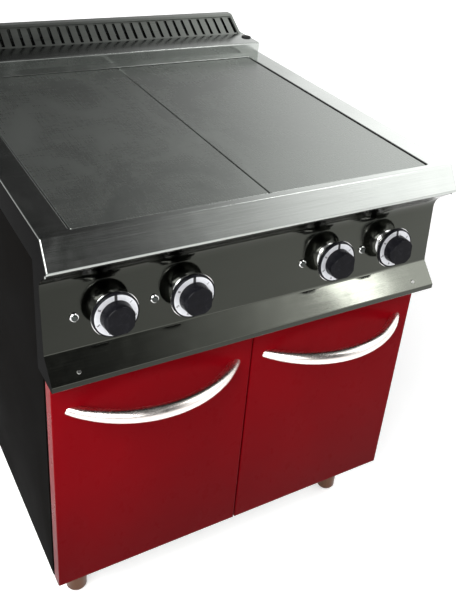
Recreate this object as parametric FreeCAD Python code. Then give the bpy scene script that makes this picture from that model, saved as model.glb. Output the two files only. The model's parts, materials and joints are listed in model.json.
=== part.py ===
import FreeCAD, Part
import math
import os

V = FreeCAD.Vector

# Commercial electric range with two solid hotplates over a two-door cupboard.
# Millimetres. +X to the right, +Y to the back, +Z up. The origin is on the floor,
# under the middle of the overall box.

# Overall sizes
width = 800.0
body_depth = 858.0
hob_height = 920.0
foot_clearance = 130.0
cut_overrun = 5.0

# Fits and clearances
shaft_clearance = 0.05
seat_clearance = 0.02
soft_clearance = 0.25
door_gap = 1.0
door_middle_gap = 3.0
knob_gap = 0.4

# Worktop, a pressed tray of stainless sheet
worktop_sheet = 2.0
rim_rise = 2.0
rim_front = 16.5
rim_side = 48.65
apron_reach = 46.0
apron_drop = 44.0
apron_fold_back = 11.5
apron_fold_height = 8.4
apron_bend_radius = 5.0
rim_bend_radius = 4.0
worktop_edge_radius = 2.5
skirt_drop = 55.0
well_edge_radius = 1.5
well_corner_radius = 5.0
ledge_width = 9.0
bearer_width = 30.0
bearer_web_drop = 14.0

# Hotplates
plate_thickness = 14.0
plate_gap = 3.0
plate_corner_radius = 3.0
plate_chamfer = 0.8

# Trays, insulation and heating elements under the hotplates
tray_sheet = 1.0
tray_side_margin = 28.4
tray_end_margin = 30.0
tray_depth = 46.0
tray_flange = 10.0
insulation_clearance = 1.0
element_radius = 4.25
element_wall_gap = 7.0
element_cover = 2.0
element_pitch = 56.0
element_runs = 4
element_hole_clearance = 0.5
element_tail = 15.0
zone_place_share = 0.25

# Flue plinth, riser and grille
plinth_depth = 158.0
plinth_setback = 17.0
plinth_end_inset = 8.0
plinth_height = 29.0
plinth_sheet = 1.5
plinth_edge_radius = 4.0
flue_opening_margin = 40.0
flue_opening_depth = 76.0
flue_opening_setback = 24.0
riser_end_margin = 20.0
riser_depth = 78.0
riser_top_depth = 21.0
riser_height = 37.0
riser_back_inset = 1.0
riser_sheet = 1.5
riser_side_frame = 7.0
riser_head_frame = 5.0
slot_pitch = 23.0
slot_width = 8.0
slot_end_margin = 8.0
slot_foot_margin = 3.5
slot_head_margin = 10.5
throat_setback = 12.5
louvre_depth = 7.0
louvre_sheet = 1.2
plug_end_margin = 22.0
plug_setback = 47.0
plug_radius = 12.0
plug_head = 2.5
plug_stem_radius = 8.0
plug_stem = 7.0
plug_dome_radius = 1.5

# Body panels
body_inset = 10.0
body_sheet = 1.5
side_flange = 25.0
side_lip = 13.0
side_top_flange = 32.0
side_top_margin = 20.0
body_bend_radius = 2.5
rear_recess = 28.0
rear_flange = 22.0
base_height = 20.0
rail_height = 43.0
rail_depth = 28.0
rail_rise = 16.0
inner_sheet = 1.2
duct_depth = 30.0
vent_side_margin = 80.0
vent_pitch = 44.0
vent_width = 8.0
vent_length = 60.0
vent_drop = 150.0

# Control panel, a roll-formed sheet
panel_end_gap = 2.0
panel_sheet = 1.5
panel_tab_rise = 15.0
panel_top_step = 1.6
panel_tab_gap = 1.5
cove_drop = 85.0
cove_back = 5.0
cove_radius = 32.0
flare_bend_drop = 219.0
flare_bend_reach = 4.2
flare_bend_radius = 8.0
lip_reach = 41.0
flare_height = 38.0
lip_height = 11.0
lip_radius = 4.5
panel_corner_radius = 2.0
panel_flange = 38.0

# Knobs, their collars and dial rings
knob_end_margin = 112.0
knob_pitch = 138.0
knob_face_share = 0.5373
collar_height = 24.0
collar_foot_width = 2.5
collar_foot_height = 1.2
collar_waist_radius = 24.5
collar_rim_width = 1.5
collar_rim_overhang = 1.0
collar_rim_height = 1.6
collar_wall = 1.2
collar_curve_share = 0.55
collar_bow_share = 0.2
knob_rim_radius = 40.0
knob_rim_height = 4.0
knob_rim_edge = 1.2
knob_rim_wall = 3.0
ring_thickness = 1.6
ring_mark_width = 5.0
grip_radius = 27.5
grip_taper = 1.5
grip_height = 22.0
grip_bar_width = 38.0
grip_scoop_radius = 30.0
grip_scoop_foot = 5.0
grip_end_share = 0.84
grip_edge = 1.2
shaft_radius = 3.0
shaft_in_knob = 16.0
shaft_in_regulator = 26.0
shaft_flat_share = 0.5
knob_bore_floor = 1.0

# Regulators behind the control panel
regulator_width = 44.0
regulator_depth = 34.0
regulator_edge = 3.0
bushing_wall = 2.0
bushing_proud = 5.0
tag_width = 6.3
tag_thickness = 0.8
tag_length = 9.0
tag_spread_share = 0.3

# Pilot lamps
lamp_offset = 60.0
lamp_drop = 3.0
bezel_radius = 7.6
bezel_height = 3.5
bezel_edge = 1.0
bezel_barrel_radius = 6.5
bezel_barrel_length = 14.0
lens_radius = 5.6
lens_height = 6.0
lens_dome = 2.0
lens_depth = 10.0

# Doors
door_thickness = 27.0
door_back_gap = 5.0
door_sheet = 1.2
door_edge_radius = 2.0
liner_lip = 14.0
hinge_edge_distance = 9.0
hinge_pin_radius = 4.0
hinge_pin_length = 14.0
hinge_block_width = 17.0
hinge_block_height = 20.0
hinge_plate_thickness = 3.0
hinge_plate_width = 24.0
hinge_plate_back = 16.0
magnet_width = 46.0
magnet_height = 12.0
magnet_clearance = 0.3
magnet_offset = 60.0

# Door handles, bowed tapering tubes
handle_end_margin = 36.75
handle_rise = 64.0
handle_radius = 13.5
handle_end_radius = 9.5
handle_drop = 353.0
handle_stations = 9
handle_overreach_share = 1.06

# Feet
foot_side_margin = 64.0
foot_setback = 88.0
foot_radius = 21.5
foot_bevel = 3.0
foot_pad_height = 5.0
foot_wall = 2.5
foot_top_gap = 5.0
socket_wall = 2.2
socket_length = 62.0
socket_flange_width = 14.25
socket_flange_thickness = 3.0

# Supply connection and fasteners
gland_side_margin = 90.0
gland_height = 205.0
gland_bore_radius = 7.0
gland_thread_radius = 10.0
gland_hex = 27.0
gland_hex_length = 7.0
gland_dome_radius = 11.5
gland_dome_length = 13.0
gland_dome_edge = 3.0
gland_nut_length = 4.5
gland_thread_length = 9.0
gland_hole_clearance = 0.2
terminal_length = 74.0
terminal_depth = 20.0
terminal_height = 30.0
terminal_rise = 62.0
terminal_ways = 5
terminal_screw_radius = 3.4
terminal_screw_depth = 6.0
screw_head_radius = 3.6
screw_head_height = 1.8
screw_edge = 0.8
flare_screw_margin = 48.0
flare_screw_share = 0.72
rear_screw_margin = 14.0
rear_screw_rows = 4

# Places worked out from the sizes above
handle_reach = handle_rise + handle_radius
door_face_y = (handle_reach - body_depth) / 2
back_y = door_face_y + body_depth
worktop_top = hob_height + rim_rise
apron_fold_reach = apron_reach - apron_fold_back
apron_fold_drop = apron_drop + apron_fold_height
skirt_bottom = hob_height - skirt_drop
well_half = width / 2 - rim_side
plates_half = well_half - plate_gap
plate_width = plates_half - plate_gap / 2
plate_depth = body_depth - plinth_depth - plinth_setback - plate_gap
plate_middle_y = door_face_y + plate_depth / 2
plate_bottom = hob_height - plate_thickness
well_front_y = door_face_y - plate_gap
well_back_y = door_face_y + plate_depth + plate_gap
tray_width = plate_width - 2 * tray_side_margin
tray_length = plate_depth - 2 * tray_end_margin
element_run = tray_width - element_pitch - 2 * element_wall_gap
element_level = plate_bottom - element_cover - element_radius
plinth_front_y = well_back_y + plinth_setback
plinth_top = worktop_top + plinth_height
flue_opening_width = width - 2 * flue_opening_margin
riser_width = width - 2 * riser_end_margin
slot_count = 2 * int((riser_width / 2 - riser_sheet - slot_end_margin) / slot_pitch) + 1
plug_x = width / 2 - plug_end_margin
plug_y = plinth_front_y + plug_setback
body_width = width - 2 * body_inset
body_front = door_thickness + door_back_gap
body_bottom = foot_clearance
body_front_y = door_face_y + body_front
rear_y = back_y - rear_recess
vent_count = int((body_width - 2 * vent_side_margin) / vent_pitch)
panel_width = width - 2 * panel_end_gap
panel_top_reach = apron_fold_reach - panel_tab_gap
panel_top_drop = apron_fold_drop + panel_top_step
lip_drop = flare_bend_drop + flare_height
panel_bottom = hob_height - lip_drop - lip_height
knob_outer_x = panel_width / 2 - knob_end_margin
knob_inner_x = knob_outer_x - knob_pitch
knob_x = [-knob_outer_x, -knob_inner_x, knob_inner_x, knob_outer_x]
knob_drop = cove_drop + (flare_bend_drop - cove_drop) * knob_face_share
knob_base_level = collar_height + knob_gap
collar_rim_radius = knob_rim_radius + collar_rim_overhang
collar_mouth_radius = collar_rim_radius - collar_rim_width
collar_foot_radius = collar_waist_radius + collar_foot_width
ring_outer_radius = knob_rim_radius - knob_rim_wall
grip_top_radius = grip_radius - grip_taper
bushing_radius = shaft_radius + bushing_wall
door_top = panel_bottom - hinge_plate_thickness - door_gap
door_bottom = body_bottom + door_gap
door_inner_x = door_middle_gap / 2
door_outer_x = body_width / 2 - door_gap
door_back_y = door_face_y + door_thickness
hinge_x = door_outer_x - hinge_edge_distance
hinge_y = door_back_y - hinge_edge_distance
handle_span = door_outer_x - door_inner_x - 2 * handle_end_margin
rail_top = panel_bottom + rail_rise
rail_bottom = rail_top - rail_height
cupboard_back_y = rear_y - duct_depth
foot_x = body_width / 2 - foot_side_margin
foot_pad_radius = foot_radius - foot_bevel
foot_top = body_bottom - foot_top_gap
gland_x = gland_side_margin - body_width / 2


def unit(vector):
    length = math.hypot(vector[0], vector[1])
    return (vector[0] / length, vector[1] / length)


def parallel(points, distance):
    """Mitred parallel of an open line, to its left."""
    normals = []
    for first, second in zip(points, points[1:]):
        along = unit((second[0] - first[0], second[1] - first[1]))
        normals.append((-along[1], along[0]))
    result = []
    for index, point in enumerate(points):
        before = normals[max(index - 1, 0)]
        after = normals[min(index, len(normals) - 1)]
        spread = 1 + before[0] * after[0] + before[1] * after[1]
        shift = distance / spread
        across = point[0] + (before[0] + after[0]) * shift
        up = point[1] + (before[1] + after[1]) * shift
        result.append((across, up))
    return result


def rounded_edges(points, radii, place):
    """Lines and tangent arcs along an open line, with one radius per inner corner."""
    edges = []
    start = points[0]
    for index, radius in enumerate(radii):
        before, corner, after = points[index:index + 3]
        inward = unit((corner[0] - before[0], corner[1] - before[1]))
        outward = unit((after[0] - corner[0], after[1] - corner[1]))
        turn = math.acos(max(-1.0, min(1.0, inward[0] * outward[0] + inward[1] * outward[1])))
        if radius == 0:
            edges.append(Part.makeLine(place(*start), place(*corner)))
            start = corner
            continue
        cut = radius * math.tan(turn / 2)
        first = (corner[0] - inward[0] * cut, corner[1] - inward[1] * cut)
        last = (corner[0] + outward[0] * cut, corner[1] + outward[1] * cut)
        middle = unit((outward[0] - inward[0], outward[1] - inward[1]))
        depth = radius / math.cos(turn / 2) - radius
        crown = (corner[0] + middle[0] * depth, corner[1] + middle[1] * depth)
        edges.append(Part.makeLine(place(*start), place(*first)))
        edges.append(Part.Arc(place(*first), place(*crown), place(*last)).toShape())
        start = last
    edges.append(Part.makeLine(place(*start), place(*points[-1])))
    return edges


def folded_face(points, radii, sheet, place):
    """Section of a folded sheet: the drawn line, and its parallel on the left."""
    inner = parallel(points, sheet)
    inner_radii = []
    for index, radius in enumerate(radii):
        before, corner, after = points[index:index + 3]
        arriving = (corner[0] - before[0], corner[1] - before[1])
        leaving = (after[0] - corner[0], after[1] - corner[1])
        turns_left = arriving[0] * leaving[1] > arriving[1] * leaving[0]
        change = -sheet if turns_left else sheet
        inner_radii.append(0 if radius == 0 else radius + change)
    edges = rounded_edges(points, radii, place)
    edges.append(Part.makeLine(place(*points[-1]), place(*inner[-1])))
    edges += rounded_edges(inner[::-1], inner_radii[::-1], place)
    edges.append(Part.makeLine(place(*inner[0]), place(*points[0])))
    return Part.Face(Part.Wire(Part.__sortEdges__(edges)))


def polygon_prism(points, place, direction):
    corners = [place(*point) for point in points]
    return Part.Face(Part.makePolygon(corners + corners[:1])).extrude(direction)


def block(low, high):
    return Part.makeBox(high[0] - low[0], high[1] - low[1], high[2] - low[2], V(*low))


def solid_of(shape):
    """The one solid of a cut or fused shape, with its coplanar faces joined."""
    return shape.removeSplitter().Solids[0]


def fuse_all(shapes):
    result = shapes[0].multiFuse(shapes[1:])
    return result.removeSplitter()


def edges_where(shape, test):
    chosen = []
    for edge in shape.Edges:
        if test(edge.BoundBox):
            chosen.append(edge)
    return chosen


def near(first, second):
    return abs(first - second) < seat_clearance


def mirror_x(shape):
    return shape.mirror(V(0, 0, 0), V(1, 0, 0))


def revolve_wire(edges):
    """Solid turned about local Z from a closed section in the X-Z plane."""
    face = Part.Face(Part.Wire(Part.__sortEdges__(edges)))
    return face.revolve(V(0, 0, 0), V(0, 0, 1), 360)


def turned(points):
    """Solid turned about local Z from a closed list of (radius, height) corners."""
    corners = [V(radius, 0, height) for radius, height in points]
    return revolve_wire(Part.makePolygon(corners + corners[:1]).Edges)


def hexagon(across_flats, low, length):
    corner_radius = across_flats / math.sqrt(3)
    corners = []
    for index in range(6):
        angle = math.radians(60 * index)
        corners.append(V(corner_radius * math.cos(angle), corner_radius * math.sin(angle), low))
    return Part.Face(Part.makePolygon(corners + corners[:1])).extrude(V(0, 0, length))


def at_yz(x):
    return lambda y, z: V(x, door_face_y + y, z)


def apron_line():
    """Visible line of the worktop, from its back edge over the rim and under the apron."""
    return [
        (body_depth, worktop_top),
        (-rim_front, worktop_top),
        (-apron_reach, hob_height - apron_drop),
        (-apron_fold_reach, hob_height - apron_fold_drop),
    ]


def worktop_shell():
    line = apron_line()
    radii = [rim_bend_radius, apron_bend_radius]
    place = at_yz(-width / 2)
    edges = rounded_edges(line, radii, place)
    low_front = (line[-1][0], skirt_bottom)
    low_back = (body_depth, skirt_bottom)
    closing = [place(*line[-1]), place(*low_front), place(*low_back), place(*line[0])]
    edges += Part.makePolygon(closing).Edges
    outer = Part.Face(Part.Wire(Part.__sortEdges__(edges))).extrude(V(width, 0, 0))

    def end_edge(box):
        at_end = near(abs(box.XMin), width / 2) and near(box.XMin, box.XMax)
        on_show = box.ZMin > hob_height - apron_drop - apron_bend_radius
        along_top = near(box.ZMin, worktop_top) and near(box.ZMax, worktop_top)
        in_front = box.YMax < door_face_y - rim_front + rim_bend_radius * 2
        return at_end and on_show and (along_top or in_front)

    outer = outer.makeFillet(worktop_edge_radius, edges_where(outer, end_edge))
    inner_line = parallel(line, worktop_sheet)
    inner_line[0] = (body_depth - worktop_sheet, inner_line[0][1])
    below = skirt_bottom - cut_overrun
    inner_points = inner_line + [line[-1], (line[-1][0], below), (body_depth - worktop_sheet, below)]
    inner_width = width - 2 * worktop_sheet
    inner = polygon_prism(inner_points, at_yz(-inner_width / 2), V(inner_width, 0, 0))
    return outer.cut(inner)


def plate_well():
    """Turned-down frame of the hotplate cut-out, with the ledge and the middle bearer."""
    bottom = plate_bottom - worktop_sheet
    frame = block(
        (-well_half - worktop_sheet, well_front_y - worktop_sheet, bottom),
        (well_half + worktop_sheet, well_back_y + worktop_sheet, hob_height),
    )
    inner_half = plates_half - ledge_width
    front = door_face_y + ledge_width
    back = door_face_y + plate_depth - ledge_width
    through = block(
        (-inner_half, front, bottom - cut_overrun),
        (inner_half, back, hob_height + cut_overrun),
    )
    bearer = block(
        (-bearer_width / 2, front - cut_overrun, bottom),
        (bearer_width / 2, back + cut_overrun, plate_bottom),
    )
    web = block(
        (-worktop_sheet / 2, front, bottom - bearer_web_drop),
        (worktop_sheet / 2, back, bottom),
    )
    return fuse_all([frame.cut(through), bearer, web])


def well_opening():
    opening = block(
        (-well_half, well_front_y, plate_bottom),
        (well_half, well_back_y, worktop_top + cut_overrun),
    )
    upright = edges_where(opening, lambda box: box.ZLength > plate_thickness)
    return opening.makeFillet(well_corner_radius, upright)


def worktop():
    body = worktop_shell().fuse(plate_well()).cut(well_opening())
    flue_front = plinth_front_y + flue_opening_setback
    flue = block(
        (-flue_opening_width / 2, flue_front, hob_height - cut_overrun),
        (flue_opening_width / 2, flue_front + flue_opening_depth, worktop_top + cut_overrun),
    )
    body = solid_of(body.cut(flue))

    def well_edge(box):
        level = near(box.ZMin, worktop_top) and near(box.ZMax, worktop_top)
        inside = box.XMin > -well_half - worktop_sheet and box.XMax < well_half + worktop_sheet
        ahead = box.YMax < well_back_y + worktop_sheet and box.YMin > well_front_y - worktop_sheet
        return level and inside and ahead

    return body.makeFillet(well_edge_radius, edges_where(body, well_edge))


def plate_centre_x(side):
    return side * (plates_half + plate_gap / 2) / 2


def hotplate(side):
    centre = plate_centre_x(side)
    low = (centre - plate_width / 2, door_face_y, plate_bottom)
    high = (centre + plate_width / 2, door_face_y + plate_depth, hob_height)
    plate = block(low, high)
    upright = edges_where(plate, lambda box: near(box.ZLength, plate_thickness))
    plate = plate.makeFillet(plate_corner_radius, upright)
    rim = edges_where(plate, lambda box: near(box.ZMin, hob_height))
    return plate.makeChamfer(plate_chamfer, rim)


def element_rows(zone):
    """Y of each straight run of a front or rear heating element."""
    first = plate_middle_y + zone * plate_depth * zone_place_share
    first -= element_pitch * (element_runs - 1) / 2
    return [first + element_pitch * index for index in range(element_runs)]


def heating_element(side, zone):
    """One serpentine tube: straight runs along X joined by half rings."""
    level = element_level
    rows = element_rows(zone)
    outer_x = plate_centre_x(side) + side * element_run / 2
    inner_x = plate_centre_x(side) - side * element_run / 2
    tail_x = plate_centre_x(side) + side * (tray_width / 2 + element_tail)
    bend = element_pitch / 2
    edges = [Part.makeLine(V(tail_x, rows[0], level), V(inner_x, rows[0], level))]
    at_inner = True
    for index in range(element_runs - 1):
        x = inner_x if at_inner else outer_x
        bulge = -side * bend if at_inner else side * bend
        start = V(x, rows[index], level)
        crown = V(x + bulge, rows[index] + bend, level)
        end = V(x, rows[index + 1], level)
        edges.append(Part.Arc(start, crown, end).toShape())
        last = index == element_runs - 2
        next_x = (tail_x if last else outer_x) if at_inner else inner_x
        edges.append(Part.makeLine(end, V(next_x, rows[index + 1], level)))
        at_inner = not at_inner
    circle = Part.makeCircle(element_radius, V(tail_x, rows[0], level), V(1, 0, 0))
    sweep = Part.BRepOffsetAPI.MakePipeShell(Part.Wire(edges))
    sweep.add(Part.Wire(circle))
    sweep.build()
    sweep.makeSolid()
    return sweep.shape()


def element_tray(side):
    centre = plate_centre_x(side)
    bottom = plate_bottom - tray_depth

    def pan(half_x, half_y, low, high):
        near_corner = (centre - half_x, plate_middle_y - half_y, low)
        return block(near_corner, (centre + half_x, plate_middle_y + half_y, high))

    outer = pan(tray_width / 2, tray_length / 2, bottom, plate_bottom)
    flange = pan(
        tray_width / 2 + tray_flange, tray_length / 2 + tray_flange, plate_bottom - tray_sheet, plate_bottom
    )
    inside = pan(
        tray_width / 2 - tray_sheet,
        tray_length / 2 - tray_sheet,
        bottom + tray_sheet,
        plate_bottom + cut_overrun,
    )
    tray = outer.fuse(flange).cut(inside)
    wall_x = centre + side * (tray_width / 2 - cut_overrun)
    hole_radius = element_radius + element_hole_clearance
    for zone in (-1, 1):
        rows = element_rows(zone)
        for y in (rows[0], rows[-1]):
            start = V(wall_x, y, element_level)
            tray = tray.cut(Part.makeCylinder(hole_radius, 2 * cut_overrun, start, V(side, 0, 0)))
    return solid_of(tray)


def insulation_board(side):
    centre = plate_centre_x(side)
    half_x = tray_width / 2 - tray_sheet - insulation_clearance
    half_y = tray_length / 2 - tray_sheet - insulation_clearance
    bottom = plate_bottom - tray_depth + tray_sheet
    top = element_level - element_radius - soft_clearance
    near_corner = (centre - half_x, plate_middle_y - half_y, bottom)
    return block(near_corner, (centre + half_x, plate_middle_y + half_y, top))


def insulation_boards():
    return Part.makeCompound([insulation_board(-1), insulation_board(1)])


def riser_line():
    """The riser's foot, brow and back, as (y from the door face, z)."""
    back = body_depth - riser_back_inset
    foot = back - riser_depth
    brow = back - riser_top_depth
    top = plinth_top + riser_height
    return foot, brow, back, top


def flue_plinth():
    half = width / 2 - plinth_end_inset
    low = (-half, plinth_front_y, worktop_top)
    high = (half, back_y, plinth_top)
    cover = block(low, high)

    def seen_edge(box):
        top = near(box.ZMin, plinth_top) and box.YMin < back_y - cut_overrun
        front_corner = box.ZLength > plinth_height / 2 and box.YMax < back_y - cut_overrun
        return top or front_corner

    cover = cover.makeFillet(plinth_edge_radius, edges_where(cover, seen_edge))
    inside = block(
        (low[0] + plinth_sheet, low[1] + plinth_sheet, low[2] - cut_overrun),
        (high[0] - plinth_sheet, high[1] - plinth_sheet, high[2] - plinth_sheet),
    )
    inner_edges = edges_where(inside, lambda box: near(box.ZMin, high[2] - plinth_sheet))
    inside = inside.makeFillet(plinth_edge_radius - plinth_sheet, inner_edges)
    foot, brow, back, top = riser_line()
    throat = block(
        (-riser_width / 2 + riser_sheet, door_face_y + foot + throat_setback, plinth_top - cut_overrun),
        (riser_width / 2 - riser_sheet, door_face_y + back - riser_sheet, plinth_top + cut_overrun),
    )
    plug_hole = Part.makeCylinder(
        plug_stem_radius + seat_clearance, 2 * cut_overrun, V(plug_x, plug_y, plinth_top - cut_overrun)
    )
    return solid_of(cover.cut(inside).cut(throat).cut(plug_hole))


def plinth_plug():
    head = Part.makeCylinder(plug_radius, plug_head)
    rim = edges_where(head, lambda box: near(box.ZMin, plug_head))
    head = head.makeFillet(plug_dome_radius, rim)
    stem = Part.makeCylinder(plug_stem_radius, plug_stem, V(0, 0, -plug_stem))
    plug = solid_of(head.fuse(stem))
    plug.translate(V(plug_x, plug_y, plinth_top))
    return plug


def riser_slope():
    """Unit direction up the riser's inclined front, and its length to the underside of the top."""
    foot, brow, back, top = riser_line()
    slope = unit((brow - foot, top - plinth_top))
    return slope, (top - riser_sheet - plinth_top) / slope[1]


def slope_strip(low_s, high_s, near_d, far_d, low_x, high_x):
    """Strip s up the inclined front and d behind it, with level upper and lower edges."""
    foot, brow, back, top = riser_line()
    slope, length = riser_slope()
    corners = []
    for s, d in ((low_s, near_d), (high_s, near_d), (high_s, far_d), (low_s, far_d)):
        up = s + d * slope[0] / slope[1]
        y = foot + slope[0] * up + slope[1] * d
        z = plinth_top + slope[1] * up - slope[0] * d
        corners.append(V(low_x, door_face_y + y, z))
    return Part.Face(Part.makePolygon(corners + corners[:1])).extrude(V(high_x - low_x, 0, 0))


def flue_riser():
    """Hood of the flue: its inclined front is a frame, open down to the plinth."""
    foot, brow, back, top = riser_line()
    slope, length = riser_slope()
    outline = [(foot, plinth_top), (brow, top), (back, top), (back, plinth_top)]
    outer = polygon_prism(outline, at_yz(-riser_width / 2), V(riser_width, 0, 0))
    inner_half = riser_width / 2 - riser_sheet
    inside = block(
        (-inner_half, door_face_y + foot - cut_overrun, plinth_top - cut_overrun),
        (inner_half, door_face_y + back - riser_sheet, top - riser_sheet),
    )
    shell = outer.cut(inside)
    frame = slope_strip(0, length, 0, riser_sheet, -inner_half, inner_half)
    window_half = riser_width / 2 - riser_side_frame
    window_top = length - riser_head_frame
    window = slope_strip(
        -cut_overrun, window_top, -cut_overrun, cut_overrun, -window_half, window_half
    )
    return solid_of(shell.fuse(frame.cut(window)))


def flue_grille():
    """Louvred insert behind the riser's frame: a row of slots, each with a turned-in louvre."""
    slope, length = riser_slope()
    half = riser_width / 2 - riser_sheet
    sheet = slope_strip(0, length, riser_sheet, 2 * riser_sheet, -half, half)
    start = slot_foot_margin
    end = length - slot_head_margin
    slots = []
    blades = []
    for index in range(slot_count):
        x = (index - (slot_count - 1) / 2) * slot_pitch
        low_x = x - slot_width / 2
        high_x = x + slot_width / 2
        slots.append(slope_strip(start, end, -cut_overrun, cut_overrun, low_x, high_x))
        inner_d = riser_sheet + louvre_depth
        low_x = high_x - louvre_sheet / 2
        high_x = high_x + louvre_sheet / 2
        blades.append(slope_strip(start, end, riser_sheet, inner_d, low_x, high_x))
    grille = sheet.cut(Part.makeCompound(slots))
    return solid_of(grille.multiFuse(blades))


def side_panel(side):
    """Folded side panel: front flange with a lip, plain wall and a top flange."""
    outer = body_width / 2
    line = [
        (outer - side_flange, body_front_y + side_lip),
        (outer - side_flange, body_front_y),
        (outer, body_front_y),
        (outer, back_y - worktop_sheet),
    ]
    radii = [body_bend_radius, body_bend_radius]
    face = folded_face(line, radii, body_sheet, lambda x, y: V(x, y, body_bottom))
    wall = face.extrude(V(0, 0, hob_height - body_bottom))
    flange = block(
        (outer - side_top_flange, body_front_y + side_top_margin, hob_height - body_sheet),
        (outer - body_sheet / 2, back_y - side_top_margin, hob_height),
    )
    panel = solid_of(wall.fuse(flange))
    return panel if side > 0 else mirror_x(panel)


def rear_panel():
    half = body_width / 2 - body_sheet
    low = body_bottom + base_height
    line = [
        (half, rear_y - rear_flange),
        (half, rear_y),
        (-half, rear_y),
        (-half, rear_y - rear_flange),
    ]
    radii = [body_bend_radius, body_bend_radius]
    face = folded_face(line, radii, body_sheet, lambda x, y: V(x, y, low))
    panel = face.extrude(V(0, 0, hob_height - body_sheet - low))
    cuts = []
    for index in range(vent_count):
        x = (index - (vent_count - 1) / 2) * vent_pitch
        vent_top = hob_height - vent_drop
        vent = block(
            (x - vent_width / 2, rear_y - cut_overrun, vent_top - vent_length),
            (x + vent_width / 2, rear_y + cut_overrun, vent_top),
        )
        cuts.append(vent)
    hole_radius = gland_thread_radius + gland_hole_clearance
    hole_start = V(gland_x, rear_y - cut_overrun, gland_height)
    cuts.append(Part.makeCylinder(hole_radius, 2 * cut_overrun, hole_start, V(0, 1, 0)))
    return solid_of(panel.cut(Part.makeCompound(cuts)))


def base_panel():
    """Shallow floor pan, behind the lips of the side panels."""
    half = body_width / 2 - body_sheet
    front = body_front_y + side_lip
    outer = block((-half, front, body_bottom), (half, rear_y, body_bottom + base_height))
    inside = block(
        (-half + body_sheet, front + body_sheet, body_bottom + body_sheet),
        (half - body_sheet, rear_y - body_sheet, body_bottom + base_height + cut_overrun),
    )
    return solid_of(outer.cut(inside))


def front_rail():
    half = body_width / 2 - side_flange
    line = [
        (body_front + rail_depth, rail_top),
        (body_front, rail_top),
        (body_front, rail_bottom),
        (body_front + rail_depth, rail_bottom),
    ]
    face = folded_face(line, [body_bend_radius, body_bend_radius], body_sheet, at_yz(-half))
    return face.extrude(V(2 * half, 0, 0))


def cupboard_ceiling():
    half = body_width / 2 - body_sheet
    front = body_front_y + side_lip + door_gap
    return block((-half, front, rail_top), (half, cupboard_back_y + inner_sheet, rail_top + inner_sheet))


def cupboard_back():
    half = body_width / 2 - 2 * body_sheet
    low = body_bottom + body_sheet
    return block((-half, cupboard_back_y, low), (half, cupboard_back_y + inner_sheet, rail_top))


def panel_line():
    """Visible line of the control panel, from its hidden tab down to the return under the lip."""
    return [
        (-panel_top_reach, hob_height - panel_top_drop + panel_tab_rise),
        (-panel_top_reach, hob_height - panel_top_drop),
        (cove_back, hob_height - cove_drop),
        (-flare_bend_reach, hob_height - flare_bend_drop),
        (-lip_reach, hob_height - lip_drop),
        (-lip_reach, panel_bottom),
        (body_front, panel_bottom),
    ]


def panel_frame():
    """Origin, outward normal and upward direction of the flat face that carries the knobs."""
    line = panel_line()
    upper = V(0, door_face_y + line[2][0], line[2][1])
    lower = V(0, door_face_y + line[3][0], line[3][1])
    upward = (upper - lower).normalize()
    normal = V(1, 0, 0).cross(upward) * -1
    if normal.y > 0:
        normal = normal * -1
    share = (upper.z - (hob_height - knob_drop)) / (upper.z - lower.z)
    origin = upper + (lower - upper) * share
    return origin, normal, upward


def on_panel(shape, x, up=0):
    """Place a shape drawn about local Z, outwards, on the control panel's flat face."""
    origin, normal, upward = panel_frame()
    place = origin + upward * up
    matrix = FreeCAD.Matrix(
        1, upward.x, normal.x, x,
        0, upward.y, normal.y, place.y,
        0, upward.z, normal.z, place.z,
        0, 0, 0, 1,
    )
    moved = shape.copy()
    moved.transformShape(matrix)
    return moved


def control_panel():
    line = panel_line()
    radii = [panel_corner_radius, cove_radius, flare_bend_radius, lip_radius, panel_corner_radius]
    half = panel_width / 2
    face = folded_face(line, radii, panel_sheet, at_yz(-half))
    sheet = face.extrude(V(panel_width, 0, 0))
    outline = rounded_edges(line[1:], radii[1:], at_yz(-half))
    back_top = at_yz(-half)(body_front, line[1][1])
    outline.append(Part.makeLine(at_yz(-half)(*line[-1]), back_top))
    outline.append(Part.makeLine(back_top, at_yz(-half)(*line[1])))
    end = Part.Face(Part.Wire(Part.__sortEdges__(outline))).extrude(V(panel_sheet, 0, 0))
    flange = block(
        (-half, body_front_y - panel_sheet, panel_bottom),
        (-half + panel_flange, body_front_y, line[1][1]),
    )
    ends = [end, flange, mirror_x(end), mirror_x(flange)]
    panel = solid_of(sheet.multiFuse(ends))
    below = V(0, 0, -cut_overrun)
    knob_bore = Part.makeCylinder(bushing_radius + seat_clearance, 2 * cut_overrun, below)
    lamp_bore = Part.makeCylinder(bezel_barrel_radius + seat_clearance, 2 * cut_overrun, below)
    drill = []
    for x in knob_x:
        drill.append(on_panel(knob_bore, x))
        drill.append(on_panel(lamp_bore, x - lamp_offset, -lamp_drop))
    return solid_of(panel.cut(Part.makeCompound(drill)))


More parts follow.
